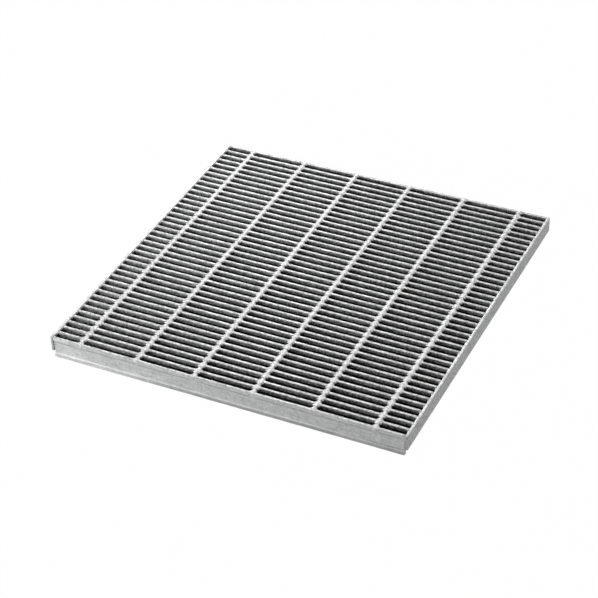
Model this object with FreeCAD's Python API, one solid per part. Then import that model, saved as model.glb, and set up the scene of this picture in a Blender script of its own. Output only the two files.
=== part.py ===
# Fine-mesh galvanised steel grating panel: I-section main bars held together by flush, twisted cross
# bars, and closed at both sides by a flat end plate.
# Millimetres. Main bars run along X, cross bars along Y, +Z is up.
# The origin is on the ground, under the middle of the panel.

import FreeCAD, Part
import math
import os

# Panel
main_bar_count = 41
main_bar_pitch = 15.0
cross_bar_count = 6
cross_bar_pitch = 100.0
end_margin = 48.0

# I-section of a main bar
bar_depth = 38.0
flange_width = 5.0
flange_edge = 6.2
flange_slope = 3.2
web_thickness = 3.0

# Twisted square cross bar
cross_bar_side = 6.0
cross_bar_recess = 0.3
quarter_turn_steps = 3

# End plates
plate_thickness = 4.5
plate_depth = 26.5

SQUARE_CORNERS = 4
QUARTER_TURN = math.pi / 2

main_bar_length = (cross_bar_count - 1) * cross_bar_pitch + 2 * end_margin
half_grid = (main_bar_count - 1) * main_bar_pitch / 2
outer_side = half_grid + flange_width / 2


def vector(x, y, z):
    return FreeCAD.Vector(x, y, z)


def polygon(points):
    """A closed wire through the points."""
    return Part.makePolygon(points + points[:1])


def i_section(x):
    """Outline of a main bar at x, centred on y = 0 and standing on z = 0."""
    flange = flange_width / 2
    web = web_thickness / 2
    half = [
        (flange, 0.0),
        (flange, flange_edge),
        (web, flange_edge + flange_slope),
        (web, bar_depth - flange_edge - flange_slope),
        (flange, bar_depth - flange_edge),
        (flange, bar_depth),
    ]
    mirrored = [(-y, z) for y, z in reversed(half)]
    return polygon([vector(x, y, z) for y, z in half + mirrored])


def main_bars():
    """The rolled main bars, side by side."""
    section = Part.Face(i_section(-main_bar_length / 2))
    bar = section.extrude(vector(main_bar_length, 0, 0))
    bars = []
    for index in range(main_bar_count):
        placed = bar.copy()
        placed.translate(vector(0, index * main_bar_pitch - half_grid, 0))
        bars.append(placed)
    return bars


def twist_stations():
    """Places along a cross bar, each with the bar's turn there.

    The bar keeps square to the main bars inside their flanges and makes its quarter turns in the slots.
    """
    slot = main_bar_pitch - flange_width
    stations = [(-outer_side, 0.0)]
    for index in range(main_bar_count - 1):
        slot_start = index * main_bar_pitch - half_grid + flange_width / 2
        for step in range(quarter_turn_steps + 1):
            share = step / quarter_turn_steps
            stations.append((slot_start + slot * share, QUARTER_TURN * (index + share)))
    stations.append((outer_side, QUARTER_TURN * (main_bar_count - 1)))
    return stations


def square_corners(y, turn):
    """Corners of the cross bar's square section at y, turned about the bar's axis."""
    radius = cross_bar_side / math.sqrt(2)
    axis_z = bar_depth - cross_bar_recess - radius
    corners = []
    for index in range(SQUARE_CORNERS):
        angle = turn + QUARTER_TURN * (index + 0.5)
        corners.append(vector(radius * math.cos(angle), y, axis_z + radius * math.sin(angle)))
    return corners


def twisted_bar():
    """One cross bar along Y, its twisted sides cut into flat triangles."""
    rings = [square_corners(y, turn) for y, turn in twist_stations()]
    faces = [Part.Face(polygon(rings[0])), Part.Face(polygon(rings[-1]))]
    for near, far in zip(rings, rings[1:]):
        for index in range(SQUARE_CORNERS):
            after = (index + 1) % SQUARE_CORNERS
            faces.append(Part.Face(polygon([near[index], near[after], far[after]])))
            faces.append(Part.Face(polygon([near[index], far[after], far[index]])))
    return Part.Solid(Part.makeShell(faces)).removeSplitter()


def cross_bars():
    """The cross bars, spaced evenly about the middle of the panel."""
    bar = twisted_bar()
    first = -(cross_bar_count - 1) * cross_bar_pitch / 2
    bars = []
    for index in range(cross_bar_count):
        placed = bar.copy()
        placed.translate(vector(first + index * cross_bar_pitch, 0, 0))
        bars.append(placed)
    return bars


def bar_grid():
    """Main bars and cross bars, forged into one sheet."""
    bars = main_bars() + cross_bars()
    return bars[0].fuse(bars[1:]).removeSplitter()


def end_plate(low_x):
    """Flat bar across the main bars' ends, flush with their tops, with its lower x side at low_x."""
    corner = vector(low_x, -outer_side, bar_depth - plate_depth)
    return Part.makeBox(plate_thickness, 2 * outer_side, plate_depth, corner)


os.makedirs("parts", exist_ok=True)
bar_grid().exportStep("parts/bar_grid.step")
end_plate(-main_bar_length / 2 - plate_thickness).exportStep("parts/end_plate_left.step")
end_plate(main_bar_length / 2).exportStep("parts/end_plate_right.step")
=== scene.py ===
"""Looks of a galvanised steel grating panel: dressed bars, forged crossings, end plates and their finishes.

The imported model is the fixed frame. Lengths are metres in that frame, and every piece stays inside its box.
"""

import logging
import math
from contextlib import contextmanager
from dataclasses import dataclass, field
from enum import Enum
from typing import Callable, Iterator

import bmesh
import bpy
from mathutils import Matrix, Vector


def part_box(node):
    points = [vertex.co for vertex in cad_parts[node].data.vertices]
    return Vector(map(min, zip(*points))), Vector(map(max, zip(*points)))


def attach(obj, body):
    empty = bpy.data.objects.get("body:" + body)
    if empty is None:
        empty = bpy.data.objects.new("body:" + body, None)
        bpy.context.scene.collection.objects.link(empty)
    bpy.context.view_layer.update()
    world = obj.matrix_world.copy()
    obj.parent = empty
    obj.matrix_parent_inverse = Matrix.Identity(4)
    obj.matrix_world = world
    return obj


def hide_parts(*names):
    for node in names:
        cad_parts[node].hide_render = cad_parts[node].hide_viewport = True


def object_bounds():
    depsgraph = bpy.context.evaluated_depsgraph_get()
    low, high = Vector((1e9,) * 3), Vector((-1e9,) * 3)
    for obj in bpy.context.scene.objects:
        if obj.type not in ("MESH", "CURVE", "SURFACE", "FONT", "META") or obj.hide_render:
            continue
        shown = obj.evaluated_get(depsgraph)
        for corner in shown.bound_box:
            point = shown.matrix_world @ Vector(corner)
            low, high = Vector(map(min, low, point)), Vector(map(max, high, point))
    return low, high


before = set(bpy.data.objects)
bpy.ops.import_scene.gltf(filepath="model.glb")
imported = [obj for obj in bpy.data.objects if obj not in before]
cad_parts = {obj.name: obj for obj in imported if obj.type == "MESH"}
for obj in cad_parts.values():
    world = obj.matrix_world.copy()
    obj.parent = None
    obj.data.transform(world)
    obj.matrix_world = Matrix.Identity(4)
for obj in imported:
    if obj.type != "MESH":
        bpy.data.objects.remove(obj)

CAD_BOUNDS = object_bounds()
BODY = "root"
MM = 0.001
CUT_TOLERANCE = 0.001 * MM
NEAR = 0.1 * MM
SIDE_INSET = 0.1 * MM
SAME_WAY = 0.99
QUARTER_TURN = math.pi / 2

log = logging.getLogger("grating")

PointTest = Callable[[Vector], bool]
Colour = tuple[float, float, float]
Span = tuple[float, float]
Rings = tuple[tuple[float, float], ...]

BLACK: Colour = (0.0, 0.0, 0.0)
WHITE: Colour = (1.0, 1.0, 1.0)


class Axis(Enum):
    """A direction of the frame."""

    X = 0
    Y = 1
    Z = 2

    @property
    def unit(self) -> Vector:
        """One metre along the axis."""
        return Vector(tuple(float(place == self.value) for place in range(3)))


def deselect_all() -> None:
    """Leaves nothing selected, so that an operator acts only on the next piece."""
    for thing in bpy.context.selected_objects:
        thing.select_set(False)


class Workpiece:
    """One mesh, shaped as by hand with modelling operators."""

    def __init__(self, name: str) -> None:
        """Takes over the primitive that was just added.

        Args:
            name: The name of the piece.
        """
        self.body: bpy.types.Object = bpy.context.active_object
        self.body.name = name
        self.body.data.name = name

    @classmethod
    def block(cls, name: str, low: Vector, high: Vector) -> "Workpiece":
        """Starts from a block.

        Args:
            name: The name of the piece.
            low: The block's lowest corner.
            high: Its highest corner.

        Returns:
            The piece, with its origin in the middle of the block.
        """
        deselect_all()
        bpy.ops.mesh.primitive_cube_add(size=1.0, location=(low + high) / 2)
        piece = cls(name)
        piece.body.scale = high - low
        bpy.ops.object.transform_apply(location=False, rotation=False, scale=True)
        return piece

    @contextmanager
    def editing(self) -> Iterator[None]:
        """Edit mode for the length of a with block."""
        self.activate()
        bpy.ops.object.mode_set(mode="EDIT")
        yield
        bpy.ops.object.mode_set(mode="OBJECT")

    def activate(self) -> None:
        """Makes this the one selected object."""
        deselect_all()
        self.body.select_set(True)
        bpy.context.view_layer.objects.active = self.body

    def pick_points(self, test: PointTest) -> None:
        """Selects the points that pass a test, and what lies wholly between them.

        Args:
            test: Takes a point's place in the piece.
        """
        bpy.ops.mesh.select_mode(type="VERT")
        bpy.ops.mesh.select_all(action="DESELECT")
        mesh = bmesh.from_edit_mesh(self.body.data)
        for point in mesh.verts:
            point.select = test(point.co)
        mesh.select_flush(True)
        bmesh.update_edit_mesh(self.body.data)

    def pick_edges(self, direction: Axis, test: PointTest) -> None:
        """Selects the edges that run along an axis and whose middle passes a test.

        Args:
            direction: The axis that the edges follow.
            test: Takes an edge's middle.
        """
        bpy.ops.mesh.select_mode(type="EDGE")
        bpy.ops.mesh.select_all(action="DESELECT")
        mesh = bmesh.from_edit_mesh(self.body.data)
        for edge in mesh.edges:
            start, end = (point.co for point in edge.verts)
            along = abs((end - start).normalized().dot(direction.unit))
            edge.select = along > SAME_WAY and test((start + end) / 2)
        bmesh.update_edit_mesh(self.body.data)

    def cut(self, axis: Axis, place: float) -> None:
        """Cuts the whole mesh across an axis, and keeps both halves.

        Args:
            axis: The cut's normal.
            place: Where the cut lies on that axis, in the piece's own place.
        """
        bpy.ops.mesh.select_all(action="SELECT")
        bpy.ops.mesh.bisect(
            plane_co=self.body.location + axis.unit * place, plane_no=axis.unit, threshold=CUT_TOLERANCE
        )

    def trim(self, axis: Axis, place: float, keep_above: bool) -> None:
        """Cuts one end off and closes the cut.

        Args:
            axis: The cut's normal.
            place: Where the cut lies on that axis.
            keep_above: Keeps the side with the higher values.
        """
        bpy.ops.mesh.select_all(action="SELECT")
        bpy.ops.mesh.bisect(
            plane_co=self.body.location + axis.unit * place,
            plane_no=axis.unit,
            use_fill=True,
            clear_inner=keep_above,
            clear_outer=not keep_above,
            threshold=CUT_TOLERANCE,
        )

    def close(self) -> None:
        """Closes what the cuts left open and turns every face outwards."""
        bpy.ops.mesh.select_all(action="SELECT")
        bpy.ops.mesh.fill_holes(sides=0)
        bpy.ops.mesh.select_all(action="SELECT")
        bpy.ops.mesh.normals_make_consistent(inside=False)

    def stretch(self, factors: tuple[float, float, float], centre: Vector) -> None:
        """Scales what is selected.

        Args:
            factors: One factor for each axis.
            centre: The point that stays, in the piece's own place.
        """
        bpy.ops.transform.resize(value=factors, center_override=self.body.location + centre)

    def round_edges(self, radius: float, steps: int) -> None:
        """Bevels the selected edges.

        Args:
            radius: How far the bevel reaches from each edge.
            steps: How many faces it has.
        """
        bpy.ops.mesh.bevel(offset=radius, segments=steps, affect="EDGES", profile=0.5)

    def modify(self, kind: str, **settings: object) -> None:
        """Adds a modifier and applies it.

        Args:
            kind: The modifier's type.
            **settings: Its settings.
        """
        self.activate()
        modifier = self.body.modifiers.new(kind.title(), kind)
        for key, value in settings.items():
            setattr(modifier, key, value)
        bpy.ops.object.modifier_apply(modifier=modifier.name)

    def repeat(self, axis: Axis, count: int, pitch: float) -> None:
        """Copies the mesh along an axis.

        Args:
            axis: Where the copies go.
            count: How many there are in all.
            pitch: From one to the next.
        """
        self.modify(
            "ARRAY",
            count=count,
            use_relative_offset=False,
            use_constant_offset=True,
            constant_offset_displace=axis.unit * pitch,
        )

    def settle(self) -> None:
        """Moves the origin to the frame's own, with the piece where it is."""
        self.activate()
        bpy.ops.object.transform_apply(location=True, rotation=True, scale=True)

    def roughen(self, depth: float, grain: float) -> None:
        """Sinks the surface unevenly, as zinc and scale leave it. The piece never grows.

        Args:
            depth: The deepest dip.
            grain: The size of the lumps.
        """
        lumps = bpy.data.textures.new(f"{self.body.name}_lumps", "CLOUDS")
        lumps.noise_scale = grain
        lumps.noise_depth = 1
        self.modify("DISPLACE", texture=lumps, texture_coords="LOCAL", strength=depth, mid_level=1.05)

    def smooth(self, angle_deg: float) -> None:
        """Shades the faces smooth, except across sharp edges.

        Args:
            angle_deg: The sharpest turn that is still smooth.
        """
        self.activate()
        bpy.ops.object.shade_smooth_by_angle(angle=math.radians(angle_deg))


class Socket:
    """A shader value that takes part in Python arithmetic."""

    def __init__(self, shader: "Shader", link: bpy.types.NodeSocket) -> None:
        """Wraps a node's output.

        Args:
            shader: The shader that the node belongs to.
            link: The output.
        """
        self.shader = shader
        self.link = link

    def __add__(self, other: "Socket | float") -> "Socket":
        """Self plus other."""
        return self.shader.maths("ADD", self, other)

    def __radd__(self, other: float) -> "Socket":
        """Other plus self."""
        return self.shader.maths("ADD", other, self)

    def __sub__(self, other: "Socket | float") -> "Socket":
        """Self minus other."""
        return self.shader.maths("SUBTRACT", self, other)

    def __rsub__(self, other: float) -> "Socket":
        """Other minus self."""
        return self.shader.maths("SUBTRACT", other, self)

    def __mul__(self, other: "Socket | float") -> "Socket":
        """Self times other."""
        return self.shader.maths("MULTIPLY", self, other)

    def __rmul__(self, other: float) -> "Socket":
        """Other times self."""
        return self.shader.maths("MULTIPLY", other, self)


class Shader:
    """A material's node tree, written as expressions."""

    NOISE_ROUGHNESS = 0.55
    MIX_FIRST = 6
    MIX_SECOND = 7
    MIX_RESULT = 2

    def __init__(self, owner: bpy.types.Material | bpy.types.World) -> None:
        """Empties the node tree of a material or world.

        Args:
            owner: What the tree belongs to.
        """
        owner.use_nodes = True
        self.tree = owner.node_tree
        self.tree.nodes.clear()

    def node(
        self,
        kind: str,
        settings: dict[str, object] | None = None,
        inputs: dict[str | int, object] | None = None,
    ) -> bpy.types.Node:
        """Adds a node.

        Args:
            kind: The node's type.
            settings: Its settings, which are set first.
            inputs: Values or links of its sockets, by name or place.

        Returns:
            The node.
        """
        added = self.tree.nodes.new(kind)
        for key, value in (settings or {}).items():
            setattr(added, key, value)
        for key, value in (inputs or {}).items():
            if isinstance(value, Socket):
                self.tree.links.new(value.link, added.inputs[key])
            elif isinstance(value, bpy.types.NodeSocket):
                self.tree.links.new(value, added.inputs[key])
            else:
                added.inputs[key].default_value = value
        return added

    def maths(self, operation: str, first: "Socket | float", second: "Socket | float") -> Socket:
        """One step of arithmetic.

        Args:
            operation: The Math node's operation.
            first: Its first value.
            second: Its second value.

        Returns:
            The result.
        """
        made = self.node("ShaderNodeMath", {"operation": operation}, {0: first, 1: second})
        return Socket(self, made.outputs[0])

    def absolute(self, value: Socket) -> Socket:
        """A value without its sign."""
        return self.maths("ABSOLUTE", value, 0.0)

    def place(self, scale: tuple[float, float, float] = (1.0, 1.0, 1.0)) -> bpy.types.NodeSocket:
        """The place on the object, in metres, stretched if asked.

        Args:
            scale: A factor for each axis.

        Returns:
            The vector output.
        """
        where = self.node("ShaderNodeTexCoord").outputs["Object"]
        mapped = self.node("ShaderNodeMapping", None, {"Vector": where, "Scale": scale})
        return mapped.outputs["Vector"]

    def coordinate(self, axis: Axis) -> Socket:
        """The place along one axis, in metres.

        Args:
            axis: The axis.

        Returns:
            The coordinate.
        """
        parts = self.node("ShaderNodeSeparateXYZ", None, {0: self.place()})
        return Socket(self, parts.outputs[axis.value])

    def noise(
        self,
        grain: float,
        detail: float = 2.0,
        scale: tuple[float, float, float] = (1.0, 1.0, 1.0),
        spread: Span = (0.3, 0.7),
    ) -> Socket:
        """Cloudy noise from 0 to 1.

        Args:
            grain: The size of the clouds.
            detail: How many finer layers there are.
            scale: A factor for each axis.
            spread: The raw values that become 0 and 1.

        Returns:
            The noise.
        """
        raw = self.node(
            "ShaderNodeTexNoise",
            None,
            {
                "Vector": self.place(scale),
                "Scale": 1.0 / grain,
                "Detail": detail,
                "Roughness": self.NOISE_ROUGHNESS,
            },
        )
        return self.ramp(Socket(self, raw.outputs[0]), *spread)

    def ramp(self, value: Socket, start: float, end: float) -> Socket:
        """A value stretched so that it goes from 0 to 1 between two of its levels.

        Args:
            value: The value.
            start: What becomes 0.
            end: What becomes 1.

        Returns:
            The stretched value.
        """
        ranged = self.node(
            "ShaderNodeMapRange",
            {"clamp": True},
            {"Value": value, "From Min": start, "From Max": end},
        )
        return Socket(self, ranged.outputs[0])

    def blend(self, share: Socket, low: Colour, high: Colour) -> bpy.types.NodeSocket:
        """A colour between two.

        Args:
            share: 0 for the first, 1 for the second.
            low: The first colour.
            high: The second colour.

        Returns:
            The colour output.
        """
        return self.mix({0: share, self.MIX_FIRST: (*low, 1.0), self.MIX_SECOND: (*high, 1.0)})

    def tint(self, colour: bpy.types.NodeSocket, share: Socket, aim: Colour) -> bpy.types.NodeSocket:
        """A colour taken towards another.

        Args:
            colour: The colour output.
            share: 0 leaves it, 1 makes it the other colour.
            aim: The other colour.

        Returns:
            The colour output.
        """
        return self.mix({0: share, self.MIX_FIRST: colour, self.MIX_SECOND: (*aim, 1.0)})

    def mix(self, inputs: dict[str | int, object]) -> bpy.types.NodeSocket:
        """Mixes two colours.

        Args:
            inputs: The share and the colours, by socket.

        Returns:
            The colour output.
        """
        return self.node("ShaderNodeMix", {"data_type": "RGBA"}, inputs).outputs[self.MIX_RESULT]

    def relief(self, height: Socket, depth: float) -> bpy.types.NodeSocket:
        """A normal bent by a height.

        Args:
            height: From 0 to 1.
            depth: What 1 stands for, in metres.

        Returns:
            The normal output.
        """
        bump = self.node("ShaderNodeBump", None, {"Height": height, "Distance": depth, "Strength": 1.0})
        return bump.outputs["Normal"]

    def finish(self, inputs: dict[str, object]) -> None:
        """Closes the tree with the surface.

        Args:
            inputs: Values or links of the surface shader.
        """
        surface = self.node("ShaderNodeBsdfPrincipled", None, inputs)
        self.node("ShaderNodeOutputMaterial", None, {"Surface": surface.outputs[0]})


class Streaks(Enum):
    """Which way a surface is drawn, as the noise's scale on each axis."""

    ALONG_X = (0.06, 1.0, 1.0)
    NONE = (1.0, 1.0, 1.0)


# The next three place the painted shade in the slots.
SLOT_MOUTH: Span = (0.6 * MM, 1.4 * MM)
END_RIM = 3 * MM
SIDE_RIM = 2 * MM
TOP_FACE_UNDER: Span = (1.2 * MM, 0.5 * MM)
BAND_CORE = 0.4


def painted_slot_shade(shader: Shader, lip: Socket, web: Socket, web_depth: Span) -> Socket:
    """Painted shade by depth in the slots, darker further in, where the bars shade each other.

    Args:
        shader: The tree that asks.
        lip: The painted shade on the upper sides.
        web: The painted shade further in.
        web_depth: From where to where the one becomes the other.

    Returns:
        0 on the outer faces, more inside.
    """
    low, high = CAD_BOUNDS
    middle = (low.z + high.z) / 2
    # Painted shade: darker with depth under the top or over the underside, except near the ends and sides.
    depth = (high.z - middle) - shader.absolute(shader.coordinate(Axis.Z) - middle)
    within = shader.ramp(depth, *SLOT_MOUTH) * lip
    within = shader.maths("MAXIMUM", within, shader.ramp(depth, *web_depth) * web)
    for axis, limit in ((Axis.X, high.x - END_RIM), (Axis.Y, high.y - SIDE_RIM)):
        within = within * shader.maths("LESS_THAN", shader.absolute(shader.coordinate(axis)), limit)
    return within


def on_top_face(shader: Shader) -> Socket:
    """Whether a place is on the panel's top, where the top face's spots and painted sheen go.

    Args:
        shader: The tree that asks.

    Returns:
        1 on the top, 0 from about a millimetre under it.
    """
    top = CAD_BOUNDS[1].z
    start, full = TOP_FACE_UNDER
    return shader.ramp(shader.coordinate(Axis.Z), top - start, top - full)


def band(shader: Shader, value: Socket, centre: float, half: float) -> Socket:
    """A soft stripe.

    Args:
        shader: The tree that asks.
        value: What the stripe is laid across.
        centre: The value in the stripe's middle.
        half: Half its width.

    Returns:
        1 in the middle, 0 outside.
    """
    return 1.0 - shader.ramp(shader.absolute(value - centre), half * BAND_CORE, half)


@dataclass(frozen=True)
class MarksAndPaintedLight:
    """Marks and painted light along a bar's outer face: a darker foot, a painted shade line under the head
    and a painted highlight line over the foot.

    A line is given by its height and half its width, foot_edge by two heights, and foot_band by its
    middle along the bar and half its length. The other spans are places along the bar.
    """

    foot_edge: Span = (5.2 * MM, 6.6 * MM)
    foot_band: Span = (60 * MM, 260 * MM)
    foot_darkening: float = 0.32
    foot_end: Span = (225 * MM, 275 * MM)
    foot_end_darkening: float = 0.3
    head_line: Span = (30.0 * MM, 2.0 * MM)
    head_shade: float = 0.3
    highlight_line: Span = (8.0 * MM, 1.8 * MM)
    highlight_share: float = 0.7
    highlight_drop: float = 0.35
    highlight_fall: Span = (-280 * MM, -80 * MM)
    highlight_rise: Span = (-298 * MM, -262 * MM)
    highlight_start: float = 0.35
    right_end: Span = (170 * MM, 270 * MM)
    end_line: Span = (9.4 * MM, 1.8 * MM)
    end_darkening: float = 0.25

    def draw(self, shader: Shader, colour: bpy.types.NodeSocket) -> bpy.types.NodeSocket:
        """Draws a darker foot, a painted shade line under the head, a painted highlight line over the foot,
        and a darker line towards the right end.

        Args:
            shader: The tree that asks.
            colour: The bar's colour.

        Returns:
            The colour output.
        """
        along = shader.coordinate(Axis.X)
        height = shader.coordinate(Axis.Z)
        foot = 1.0 - shader.ramp(height, *self.foot_edge)
        colour = shader.tint(colour, foot * band(shader, along, *self.foot_band) * self.foot_darkening, BLACK)
        # Painted shade: a dark line under the head, where the head shades the web.
        colour = shader.tint(colour, band(shader, height, *self.head_line) * self.head_shade, BLACK)
        colour = shader.tint(colour, foot * shader.ramp(along, *self.foot_end) * self.foot_end_darkening, BLACK)
        to_end = shader.ramp(along, *self.right_end)
        # Painted highlight: a light line on the foot's upper slope, fading along the bar away from the lamps
        # on the left.
        fall = shader.ramp(along, *self.highlight_fall)
        rise = shader.ramp(along, *self.highlight_rise)
        light = self.highlight_share - self.highlight_drop * fall - self.highlight_drop * to_end
        light = light * (self.highlight_start + (1.0 - self.highlight_start) * rise)
        colour = shader.tint(colour, band(shader, height, *self.highlight_line) * light, WHITE)
        return shader.tint(colour, band(shader, height, *self.end_line) * to_end * self.end_darkening, BLACK)


@dataclass(frozen=True)
class ZincFinish:
    """Hot-dip zinc over rolled or forged steel, with painted shade in the slots and, on some parts, a painted
    sheen on the top face.

    A reach is two places along an axis, a spread is two raw noise levels, and web_depth is measured
    inwards from the top or the underside, whichever is nearer.
    """

    name: str
    slot: str
    dark: Colour
    light: Colour
    streaks: Streaks = Streaks.NONE
    marks_and_light: MarksAndPaintedLight | None = None
    cloud: float = 14 * MM
    cloud_share: float = 0.2
    blotch: float = 5 * MM
    blotch_share: float = 0.25
    speckle: float = 1.8 * MM
    speckle_share: float = 0.3
    streak_width: float = 1.6 * MM
    streak_share: float = 0.25
    metallic: float = 0.45
    roughness_low: float = 0.34
    roughness_high: float = 0.5
    relief: float = 0.25 * MM
    relief_balance: float = 0.5
    grain: float = 3.8 * MM
    grain_spread: Span = (0.44, 0.54)
    # The next fields paint shade into the slots, and paint the slots lighter towards the left end.
    lip_painted_shade: float = 0.32
    lip_coarse: float = 1.9
    lip_fine: float = 1.7
    web_glint: float = 0.16
    web_depth: Span = (5.9 * MM, 6.7 * MM)
    left_reach: Span = (-260 * MM, 0.0)
    left_lip_light: float = 0.07
    left_glint: float = 0.52
    spot: float = 4.5 * MM
    spot_spread: Span = (0.41, 0.53)
    spot_depth: float = 1.0
    # The top face's colour: black gives random dark spots, white a painted sheen, which the fields below fade
    # towards the right and the front end.
    spots_and_sheen: Colour = BLACK
    spots_and_sheen_share: float = 0.42
    right_reach: Span = (0.0, 300 * MM)
    right_fade: float = 0.0
    corner_reach: Span = (-300 * MM, -286 * MM)
    front_fade: float = 0.0

    def material(self) -> bpy.types.Material:
        """Builds the material.

        Returns:
            The material, on Object coordinates.
        """
        zinc = bpy.data.materials.new(self.name)
        shader = Shader(zinc)
        clouds = shader.noise(self.cloud, detail=3.0)
        blotches = shader.noise(self.blotch, detail=2.0)
        speckles = shader.noise(self.speckle, detail=1.0)
        drawn = shader.noise(self.streak_width, detail=1.0, scale=self.streaks.value)
        shade = clouds * self.cloud_share + blotches * self.blotch_share
        shade = shade + speckles * self.speckle_share + drawn * self.streak_share
        colour = shader.blend(shade, self.dark, self.light)
        if self.marks_and_light:
            colour = self.marks_and_light.draw(shader, colour)
        # Random dark spots on the top face, or a white painted sheen on plates and forged bars.
        colour = shader.tint(colour, self.top_spots_and_sheen(shader), self.spots_and_sheen)
        height = speckles * self.relief_balance + drawn * (1.0 - self.relief_balance)
        shader.finish(
            {
                # Painted shade in the slots darkens the base colour.
                "Base Color": shader.tint(colour, self.slot_painted_shade(shader), BLACK),
                "Metallic": self.metallic,
                "Roughness": self.roughness_low + (self.roughness_high - self.roughness_low) * clouds,
                "Normal": shader.relief(height, self.relief),
            }
        )
        return zinc

    def slot_painted_shade(self, shader: Shader) -> Socket:
        """Painted shade in the slots: on their lips in grains, and on their webs with lighter grains, which
        grow towards the left end as painted light from the lamps there.

        Args:
            shader: The tree that asks.

        Returns:
            0 for none, 1 for black.
        """
        grain = shader.noise(self.grain, detail=1.5, spread=self.grain_spread)
        # Painted light: the slots lighter towards the left end, where the lamps stand.
        left = 1.0 - shader.ramp(shader.coordinate(Axis.X), *self.left_reach)
        far_left = left * left * left
        lip = (self.lip_coarse - self.lip_fine * grain) * (self.lip_painted_shade - self.left_lip_light * left)
        web = 1.0 - grain * (self.web_glint + self.left_glint * far_left)
        return painted_slot_shade(shader, lip, web, self.web_depth)

    def top_spots_and_sheen(self, shader: Shader) -> Socket:
        """How much of the top face's colour shows, in spots and less towards the right and the front end:
        random dark spots on rolled zinc, a white painted sheen on plates and forged bars.

        Args:
            shader: The tree that asks.

        Returns:
            0 for none, 1 for the top face's colour.
        """
        spots = shader.noise(self.spot, detail=2.0, spread=self.spot_spread)
        right = shader.ramp(shader.coordinate(Axis.X), *self.right_reach)
        corner = 1.0 - shader.ramp(shader.coordinate(Axis.Y), *self.corner_reach)
        share = (self.spots_and_sheen_share - self.right_fade * right) * (1.0 - self.front_fade * corner)
        return on_top_face(shader) * (1.0 - spots * self.spot_depth) * share


ROLLED_ZINC = ZincFinish(
    "rolled_zinc",
    "galvanised_bars",
    dark=(0.34, 0.35, 0.35),
    light=(0.88, 0.88, 0.88),
    streaks=Streaks.ALONG_X,
    marks_and_light=MarksAndPaintedLight(),
)
# On the cross bars: painted shade on the flanks just under their tops, and a faint white painted sheen on the
# tops.
FORGED_ZINC = ZincFinish(
    "forged_zinc",
    "galvanised_bars",
    dark=(0.22, 0.22, 0.22),
    light=WHITE,
    speckle=3.2 * MM,
    lip_painted_shade=0.0,
    left_lip_light=0.0,
    web_glint=0.3,
    left_glint=0.0,
    web_depth=(1.2 * MM, 3.0 * MM),
    spots_and_sheen=WHITE,
    spots_and_sheen_share=0.05,
)
# The plates' tops get a white painted sheen, less towards the right and the front end.
PLATE_ZINC = ZincFinish(
    "plate_zinc",
    "galvanised_plate",
    dark=(0.1, 0.11, 0.11),
    light=(0.76, 0.76, 0.76),
    speckle=3.2 * MM,
    spots_and_sheen=WHITE,
    spots_and_sheen_share=0.82,
    right_fade=0.2,
    front_fade=0.8,
    spot_depth=0.6,
)
WELD_ZINC = ZincFinish(
    "weld_zinc",
    "galvanised_bars",
    dark=(0.16, 0.16, 0.16),
    light=WHITE,
    speckle=2.4 * MM,
    relief=0.6 * MM,
)


def hand_over(piece: Workpiece, finish: ZincFinish, *nodes: str) -> None:
    """Gives a finished piece its material and its place in the frame.

    Args:
        piece: The piece.
        finish: Its finish.
        *nodes: The frame's nodes that it stands for.
    """
    piece.settle()
    piece.body.data.materials.clear()
    piece.body.data.materials.append(finish.material())
    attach(piece.body, BODY)
    if nodes:
        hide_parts(*nodes)
    log.info("%s: %d faces", piece.body.name, len(piece.body.data.polygons))


@dataclass
class Layout:
    """Where the bars stand, from the frame's own boxes and the counts that the photograph shows."""

    main_count: int = 41
    cross_count: int = 6
    cross_pitch: float = 100 * MM
    flange_width: float = 5 * MM
    cross_side: float = 6 * MM
    cross_recess: float = 0.3 * MM
    low: Vector = field(default_factory=lambda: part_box("bar_grid")[0])
    high: Vector = field(default_factory=lambda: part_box("bar_grid")[1])

    @property
    def main_pitch(self) -> float:
        """From one main bar to the next."""
        return (self.high.y - self.low.y - self.flange_width) / (self.main_count - 1)

    @property
    def first_main(self) -> float:
        """The first main bar's middle, on Y."""
        return self.low.y + self.flange_width / 2

    @property
    def first_cross(self) -> float:
        """The first cross bar's middle, on X."""
        return -(self.cross_count - 1) * self.cross_pitch / 2

    @property
    def cross_axis(self) -> float:
        """The height of the cross bars' axes."""
        return self.high.z - self.cross_recess - self.cross_side / math.sqrt(2)

    def trim_sides(self, piece: Workpiece) -> None:
        """Cuts off what reaches past the first and last main bars.

        Args:
            piece: The piece, in edit mode.
        """
        piece.trim(Axis.Y, self.low.y + SIDE_INSET, keep_above=True)
        piece.trim(Axis.Y, self.high.y - SIDE_INSET, keep_above=False)


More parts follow.
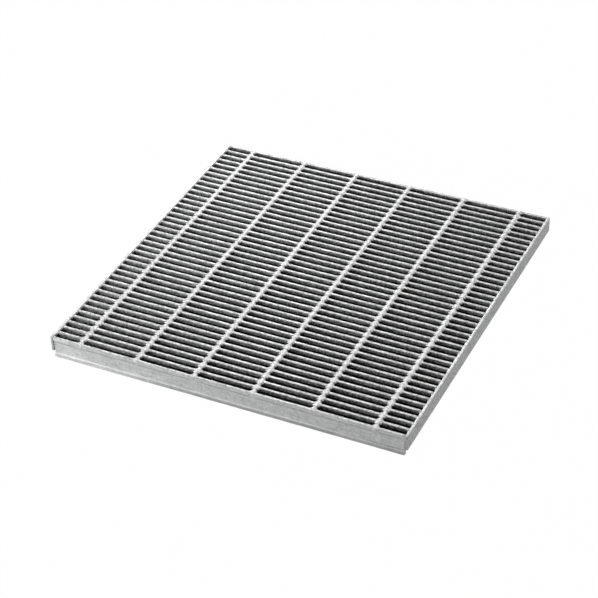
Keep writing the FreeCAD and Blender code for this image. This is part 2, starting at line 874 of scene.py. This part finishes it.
@dataclass
class MainBars:
    """The rolled I-section bars, side by side."""

    layout: Layout
    flange_edge: float = 6.2 * MM
    flange_slope: float = 3.2 * MM
    web: float = 3.0 * MM
    left_gap: float = 0.5 * MM
    right_gap: float = 0.3 * MM
    top_gap: float = 0.2 * MM
    tip_radius: float = 0.8 * MM
    root_radius: float = 0.9 * MM
    left_cut: float = 4.0 * MM
    right_cut: float = 1.5 * MM
    bevel_steps: int = 2
    cuts: int = 56
    lump_depth: float = 0.6 * MM
    lump_grain: float = 7 * MM
    smooth_deg: float = 40

    def build(self) -> Workpiece:
        """Models one bar and copies it across the panel.

        Returns:
            The bars, as one mesh.
        """
        lay = self.layout
        half_flange = lay.flange_width / 2
        low = Vector((lay.low.x + self.left_gap, lay.first_main - half_flange, lay.low.z))
        high = Vector((lay.high.x - self.right_gap, lay.first_main + half_flange, lay.high.z - self.top_gap))
        bar = Workpiece.block("main_bars", low, high)
        half_length = (high.x - low.x) / 2
        half_depth = (high.z - low.z) / 2
        slope_start = half_depth - self.flange_edge
        web_end = slope_start - self.flange_slope
        slim = self.web / lay.flange_width
        with bar.editing():
            for height in (slope_start, web_end, -web_end, -slope_start):
                bar.cut(Axis.Z, height)
            bar.pick_points(lambda point: abs(point.z) < web_end + NEAR)
            bar.stretch((1.0, slim, 1.0), Vector((0, 0, 0)))
            bar.pick_edges(Axis.X, lambda middle: abs(middle.z) > slope_start - NEAR)
            bar.round_edges(self.tip_radius, self.bevel_steps)
            bar.pick_edges(Axis.X, lambda middle: abs(abs(middle.z) - web_end) < NEAR)
            bar.round_edges(self.root_radius, self.bevel_steps)
            step = 2 * half_length / (self.cuts + 1)
            for index in range(self.cuts):
                bar.cut(Axis.X, (index + 1) * step - half_length)
            self.cut_corner(bar, Vector((-half_length, 0, -half_depth)), Axis.X.unit * self.left_cut)
            self.cut_corner(bar, Vector((half_length, 0, -half_depth)), Axis.X.unit * -self.right_cut)
        bar.repeat(Axis.Y, lay.main_count, lay.main_pitch)
        bar.settle()
        bar.roughen(self.lump_depth, self.lump_grain)
        bar.smooth(self.smooth_deg)
        return bar

    def cut_corner(self, bar: Workpiece, corner: Vector, reach: Vector) -> None:
        """Takes the sawn lower corner off a bar's end.

        Args:
            bar: The bar, in edit mode.
            corner: The corner, in the bar's own place.
            reach: From the corner to where the cut meets the bar's foot.
        """
        bpy.ops.mesh.select_all(action="SELECT")
        bpy.ops.mesh.bisect(
            plane_co=bar.body.location + corner + reach,
            plane_no=reach.normalized() + Axis.Z.unit,
            use_fill=True,
            clear_inner=True,
            threshold=CUT_TOLERANCE,
        )


@dataclass
class CrossBars:
    """The twisted square bars, forged into the tops of the main bars."""

    layout: Layout
    coated_side: float = 6.8 * MM
    corner_radius: float = 1.1 * MM
    corner_steps: int = 3
    forged_depth: float = 0.05 * MM
    rise: float = 1.5 * MM
    rings_per_pitch: int = 6
    lump_depth: float = 0.6 * MM
    lump_grain: float = 6 * MM
    smooth_deg: float = 50

    def build(self) -> Workpiece:
        """Models one bar, twists it and copies it along the panel.

        Returns:
            The cross bars, as one mesh.
        """
        lay = self.layout
        half = self.coated_side / 2
        axis = lay.cross_axis + self.rise
        low = Vector((lay.first_cross - half, lay.low.y, axis - half))
        high = Vector((lay.first_cross + half, lay.high.y, axis + half))
        bar = Workpiece.block("cross_bars", low, high)
        with bar.editing():
            bar.pick_edges(Axis.Y, lambda middle: True)
            bar.round_edges(self.corner_radius, self.corner_steps)
            bar.cut(Axis.X, 0.0)
            bar.cut(Axis.Z, 0.0)
            bar.pick_edges(Axis.Y, lambda middle: True)
            bpy.ops.mesh.subdivide(number_cuts=lay.main_count - 1)
            bar.pick_edges(Axis.Y, lambda middle: True)
            bpy.ops.mesh.subdivide(number_cuts=self.rings_per_pitch - 1)
        twist = (high.y - low.y) / lay.main_pitch * QUARTER_TURN
        bar.modify("SIMPLE_DEFORM", deform_method="TWIST", deform_axis="Y", angle=twist)
        flush = lay.high.z - self.forged_depth - axis
        with bar.editing():
            bar.pick_points(lambda point: point.z > flush)
            bar.stretch((1.0, 1.0, 0.0), Vector((0, 0, flush)))
        bar.repeat(Axis.X, lay.cross_count, lay.cross_pitch)
        bar.settle()
        bar.roughen(self.lump_depth, self.lump_grain)
        bar.smooth(self.smooth_deg)
        return bar


@dataclass
class Collar:
    """One lump of forged metal and zinc round a bar, widest where it meets a face across the bar."""

    name: str
    axis: Axis
    place: Vector
    rings: Rings
    top: float
    bottom: float
    sides: int = 10
    over_height: float = 1.25

    def build(self) -> Workpiece:
        """Models the lump with a flat top, level with the bars.

        Returns:
            The lump, which runs both ways from its place.
        """
        reach, waist = self.rings[-1]
        turned = (QUARTER_TURN, 0, 0) if self.axis is Axis.Y else (0, QUARTER_TURN, 0)
        deselect_all()
        bpy.ops.mesh.primitive_cylinder_add(
            vertices=self.sides, radius=1.0, depth=2 * reach, rotation=turned, location=self.place
        )
        lump = Workpiece(self.name)
        bpy.ops.object.transform_apply(location=False, rotation=True, scale=False)
        half_height = self.over_height * (self.top - self.bottom) / 2
        across = [waist, waist, half_height]
        across[self.axis.value] = 1.0
        with lump.editing():
            bpy.ops.mesh.select_all(action="SELECT")
            lump.stretch(tuple(across), Vector((0, 0, 0)))
            for place, half_width in self.rings[:-1]:
                self.add_ring(lump, place, half_width / waist)
            for level, above in ((self.top, True), (self.bottom, False)):
                height = level - self.place.z
                lump.pick_points(
                    lambda point, at=height, up=above: (point.z > at) == up and abs(point.z) > abs(at)
                )
                lump.stretch((1.0, 1.0, 0.0), Vector((0, 0, height)))
        return lump

    def add_ring(self, lump: Workpiece, place: float, wider: float) -> None:
        """Cuts the lump both ways from its middle, and widens it there.

        Args:
            lump: The lump, in edit mode.
            place: How far from the middle.
            wider: The factor.
        """
        for side in (-1, 1):
            lump.cut(self.axis, side * place)
        factors = [wider, wider, 1.0]
        factors[self.axis.value] = 1.0
        lump.pick_points(lambda point: abs(abs(point[self.axis.value]) - place) < 0.5 * NEAR)
        lump.stretch(tuple(factors), Vector((0, 0, 0)))


@dataclass
class CrossingWelds:
    """The collars round each crossing, which round off the slots' ends."""

    layout: Layout
    rings: Rings = (
        (2.4 * MM, 5.7 * MM),
        (3.2 * MM, 4.4 * MM),
        (4.4 * MM, 3.6 * MM),
        (6.0 * MM, 3.2 * MM),
    )
    below_top: float = 0.05 * MM
    depth: float = 5.5 * MM
    lump_depth: float = 0.35 * MM
    lump_grain: float = 4 * MM
    smooth_deg: float = 60

    def build(self) -> Workpiece:
        """Models one collar and copies it to every crossing.

        Returns:
            The collars, as one mesh.
        """
        lay = self.layout
        top = lay.high.z - self.below_top
        place = Vector((lay.first_cross, lay.first_main, top - self.depth / 2))
        collar = Collar("crossing_welds", Axis.Y, place, self.rings, top, top - self.depth).build()
        collar.repeat(Axis.X, lay.cross_count, lay.cross_pitch)
        collar.repeat(Axis.Y, lay.main_count, lay.main_pitch)
        collar.settle()
        with collar.editing():
            lay.trim_sides(collar)
        collar.roughen(self.lump_depth, self.lump_grain)
        collar.smooth(self.smooth_deg)
        return collar


class Side(Enum):
    """An end of the main bars."""

    LEFT = -1
    RIGHT = 1


@dataclass
class PlateWelds:
    """The fillets between the main bars' ends and one end plate."""

    layout: Layout
    side: Side
    depth: float
    rings: Rings
    below_top: float = 0.3 * MM
    lump_depth: float = 0.8 * MM
    lump_grain: float = 4 * MM
    smooth_deg: float = 60

    def build(self) -> Workpiece:
        """Models one fillet and copies it to every bar's end.

        Returns:
            The fillets, as one mesh.
        """
        lay = self.layout
        top = lay.high.z - self.below_top
        name = f"{self.side.name.lower()}_plate_welds"
        end = self.side.value * lay.high.x
        place = Vector((end, lay.first_main, top - self.depth / 2))
        fillet = Collar(name, Axis.X, place, self.rings, top, top - self.depth).build()
        with fillet.editing():
            fillet.trim(Axis.X, 0.0, keep_above=self.side is Side.LEFT)
        fillet.repeat(Axis.Y, lay.main_count, lay.main_pitch)
        fillet.settle()
        with fillet.editing():
            lay.trim_sides(fillet)
            fillet.close()
        fillet.roughen(self.lump_depth, self.lump_grain)
        fillet.smooth(self.smooth_deg)
        return fillet


TACK_DEPTH = 6 * MM
TACKS: Rings = ((0.1 * MM, 6.0 * MM), (0.5 * MM, 4.5 * MM), (1.2 * MM, 3.4 * MM), (2.2 * MM, 2.6 * MM))
FILLET_DEPTH = 24 * MM
FILLETS: Rings = ((0.1 * MM, 5.5 * MM), (0.5 * MM, 4.0 * MM), (1.6 * MM, 3.2 * MM), (3.5 * MM, 2.6 * MM))


@dataclass
class OuterWelds:
    """The rough patches where the cross bars' ends show in the outer faces of the first and last bars."""

    layout: Layout
    half_width: float = 8.0 * MM
    half_height: float = 4.6 * MM
    below_top: float = 0.3 * MM
    inset: float = 0.1 * MM
    edge_radius: float = 0.5 * MM
    sides: int = 16
    cut_shares: tuple[float, ...] = (-0.7, -0.35, 0.0, 0.35, 0.7)
    lump_depth: float = 0.9 * MM
    lump_grain: float = 3 * MM
    smooth_deg: float = 50

    def build(self) -> Workpiece:
        """Models one patch that reaches across the panel's edge and copies it.

        Returns:
            The patches, as one mesh.
        """
        lay = self.layout
        deselect_all()
        bpy.ops.mesh.primitive_cylinder_add(
            vertices=self.sides,
            radius=1.0,
            depth=lay.flange_width - self.inset,
            rotation=(QUARTER_TURN, 0, 0),
            location=(lay.first_cross, lay.first_main, lay.high.z - self.below_top - self.half_height),
        )
        patch = Workpiece("outer_welds")
        patch.body.scale = (self.half_width, self.half_height, 1.0)
        bpy.ops.object.transform_apply(location=False, rotation=True, scale=True)
        with patch.editing():
            patch.pick_points(lambda point: True)
            patch.round_edges(self.edge_radius, 1)
            for share in self.cut_shares:
                patch.cut(Axis.X, share * self.half_width)
                patch.cut(Axis.Z, share * self.half_height)
        patch.repeat(Axis.X, lay.cross_count, lay.cross_pitch)
        patch.repeat(Axis.Y, 2, (lay.main_count - 1) * lay.main_pitch)
        patch.settle()
        patch.roughen(self.lump_depth, self.lump_grain)
        patch.smooth(self.smooth_deg)
        return patch


@dataclass
class EndPlate:
    """A flat bar across the main bars' ends."""

    node: str
    corner_radius: float = 0.6 * MM
    corner_steps: int = 2
    cuts: int = 80
    height_shares: tuple[float, ...] = (-0.6, -0.2, 0.2, 0.6)
    lump_depth: float = 0.5 * MM
    lump_grain: float = 9 * MM
    smooth_deg: float = 40

    def build(self) -> Workpiece:
        """Models the plate with softened edges.

        Returns:
            The plate.
        """
        low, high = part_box(self.node)
        plate = Workpiece.block(f"{self.node}_dressed", low, high)
        half = (high - low) / 2
        with plate.editing():
            bpy.ops.mesh.select_all(action="SELECT")
            plate.round_edges(self.corner_radius, self.corner_steps)
            for index in range(self.cuts):
                plate.cut(Axis.Y, (index + 1) * 2 * half.y / (self.cuts + 1) - half.y)
            for share in self.height_shares:
                plate.cut(Axis.Z, share * half.z)
        plate.settle()
        plate.roughen(self.lump_depth, self.lump_grain)
        plate.smooth(self.smooth_deg)
        return plate


@dataclass
class Camera:
    """The photograph's camera."""

    aim: Vector = field(default_factory=lambda: Vector((13.68, -63.82, 38.0)) * MM)
    distance: float = 2993.0 * MM
    azimuth: float = 27.43
    elevation: float = 36.78
    roll: float = -2.85
    lens_mm: float = 113.56
    sensor_mm: float = 36.0
    reach: float = 30.0

    def build(self) -> None:
        """Adds the camera and makes it the scene's."""
        data = bpy.data.cameras.new("camera")
        data.lens = self.lens_mm
        data.sensor_width = self.sensor_mm
        data.clip_end = self.reach
        camera = bpy.data.objects.new("camera", data)
        bpy.context.scene.collection.objects.link(camera)
        turned = Matrix.Rotation(math.radians(self.azimuth), 4, "Z")
        tilted = Matrix.Rotation(math.radians(90 - self.elevation), 4, "X")
        rolled = Matrix.Rotation(math.radians(self.roll), 4, "Z")
        heading = turned @ tilted @ rolled
        back = heading @ Vector((0, 0, 1))
        camera.matrix_world = Matrix.Translation(self.aim + back * self.distance) @ heading
        bpy.context.scene.camera = camera


@dataclass
class Lamp:
    """A soft box."""

    name: str
    place: tuple[float, float, float]
    size: float
    power: float

    def build(self) -> None:
        """Adds the lamp, aimed at the panel."""
        data = bpy.data.lights.new(self.name, "AREA")
        data.size = self.size
        data.energy = self.power
        lamp = bpy.data.objects.new(self.name, data)
        bpy.context.scene.collection.objects.link(lamp)
        lamp.location = self.place
        lamp.rotation_euler = (-Vector(self.place)).to_track_quat("-Z", "Y").to_euler()


@dataclass
class Studio:
    """The floor, the lamps and the white surround. Inside the rims the floor lies dark under the panel."""

    floor_size: float = 12.0
    floor_drop: float = 0.2 * MM
    floor_colour: Colour = (0.7, 0.7, 0.7)
    floor_whiteness: float = 0.995
    rim: float = 2 * MM
    right_rim: float = 10 * MM
    surround_level: float = 0.02
    lamps: tuple[Lamp, ...] = (
        Lamp("key", (-0.75, -0.72, 0.36), 0.35, 2.4),
        Lamp("rake", (-1.5, -0.5, 0.25), 0.3, 14.5),
        Lamp("front", (-0.75, -0.72, 0.075), 0.14, 1.0),
        Lamp("sheen", (-1.35, 2.4, 1.75), 1.0, 27.0),
        Lamp("fill", (1.0, 1.3, 2.4), 1.0, 14.5),
    )

    def build(self) -> None:
        """Builds the stage."""
        for lamp in self.lamps:
            lamp.build()
        self.lay_floor()
        self.surround()

    def lay_floor(self) -> None:
        """A pale floor, white to the camera, that still takes the panel's shadow."""
        deselect_all()
        bpy.ops.mesh.primitive_plane_add(size=self.floor_size, location=(0, 0, -self.floor_drop))
        floor = bpy.context.active_object
        floor.name = "floor"
        white = bpy.data.materials.new("floor_white")
        shader = Shader(white)
        shift = (self.right_rim - self.rim) / 2
        along = shader.absolute(shader.coordinate(Axis.X) + shift) + shift
        across = shader.absolute(shader.coordinate(Axis.Y))
        from_middle = shader.maths("MAXIMUM", along, across)
        open_floor = shader.maths("GREATER_THAN", from_middle, CAD_BOUNDS[1].x - self.rim)
        diffuse = shader.node("ShaderNodeBsdfDiffuse", None, {"Color": (*self.floor_colour, 1.0)})
        glow = shader.node("ShaderNodeEmission", None, {"Strength": 1.0})
        share = seen_directly(shader) * open_floor * self.floor_whiteness
        shown = {0: share, 1: diffuse.outputs[0], 2: glow.outputs[0]}
        mixed = shader.node("ShaderNodeMixShader", None, shown)
        shader.node("ShaderNodeOutputMaterial", None, {"Surface": mixed.outputs[0]})
        floor.data.materials.append(white)

    def surround(self) -> None:
        """A white world that lights the panel less than it shows."""
        world = bpy.data.worlds.new("surround")
        bpy.context.scene.world = world
        shader = Shader(world)
        seen = seen_directly(shader)
        level = seen * (1.0 - self.surround_level) + self.surround_level
        light = shader.node("ShaderNodeBackground", None, {"Color": (1, 1, 1, 1), "Strength": level})
        shader.node("ShaderNodeOutputWorld", None, {"Surface": light.outputs[0]})


def seen_directly(shader: Shader) -> Socket:
    """Whether a ray comes from the camera, or by way of metal or glass.

    Args:
        shader: The tree that asks.

    Returns:
        1 for such a ray, 0 for the rest.
    """
    path = shader.node("ShaderNodeLightPath")
    either = Socket(shader, path.outputs["Is Camera Ray"])
    for name in ("Is Glossy Ray", "Is Transmission Ray"):
        either = shader.maths("MAXIMUM", either, Socket(shader, path.outputs[name]))
    return either


def main() -> None:
    """Builds the panel's looks, the camera and the stage."""
    logging.basicConfig(level=logging.INFO, format="%(name)s: %(message)s")
    bpy.context.scene.view_settings.view_transform = "Standard"
    layout = Layout()
    Camera().build()
    hand_over(MainBars(layout).build(), ROLLED_ZINC, "bar_grid")
    hand_over(CrossBars(layout).build(), FORGED_ZINC, "bar_grid")
    hand_over(CrossingWelds(layout).build(), FORGED_ZINC, "bar_grid")
    hand_over(OuterWelds(layout).build(), WELD_ZINC, "bar_grid")
    left = PlateWelds(layout, Side.LEFT, TACK_DEPTH, TACKS)
    right = PlateWelds(layout, Side.RIGHT, FILLET_DEPTH, FILLETS)
    for welds in (left, right):
        node = f"end_plate_{welds.side.name.lower()}"
        hand_over(welds.build(), FORGED_ZINC, "bar_grid")
        hand_over(EndPlate(node).build(), PLATE_ZINC, node)
    Studio().build()


if __name__ == "__main__":
    main()
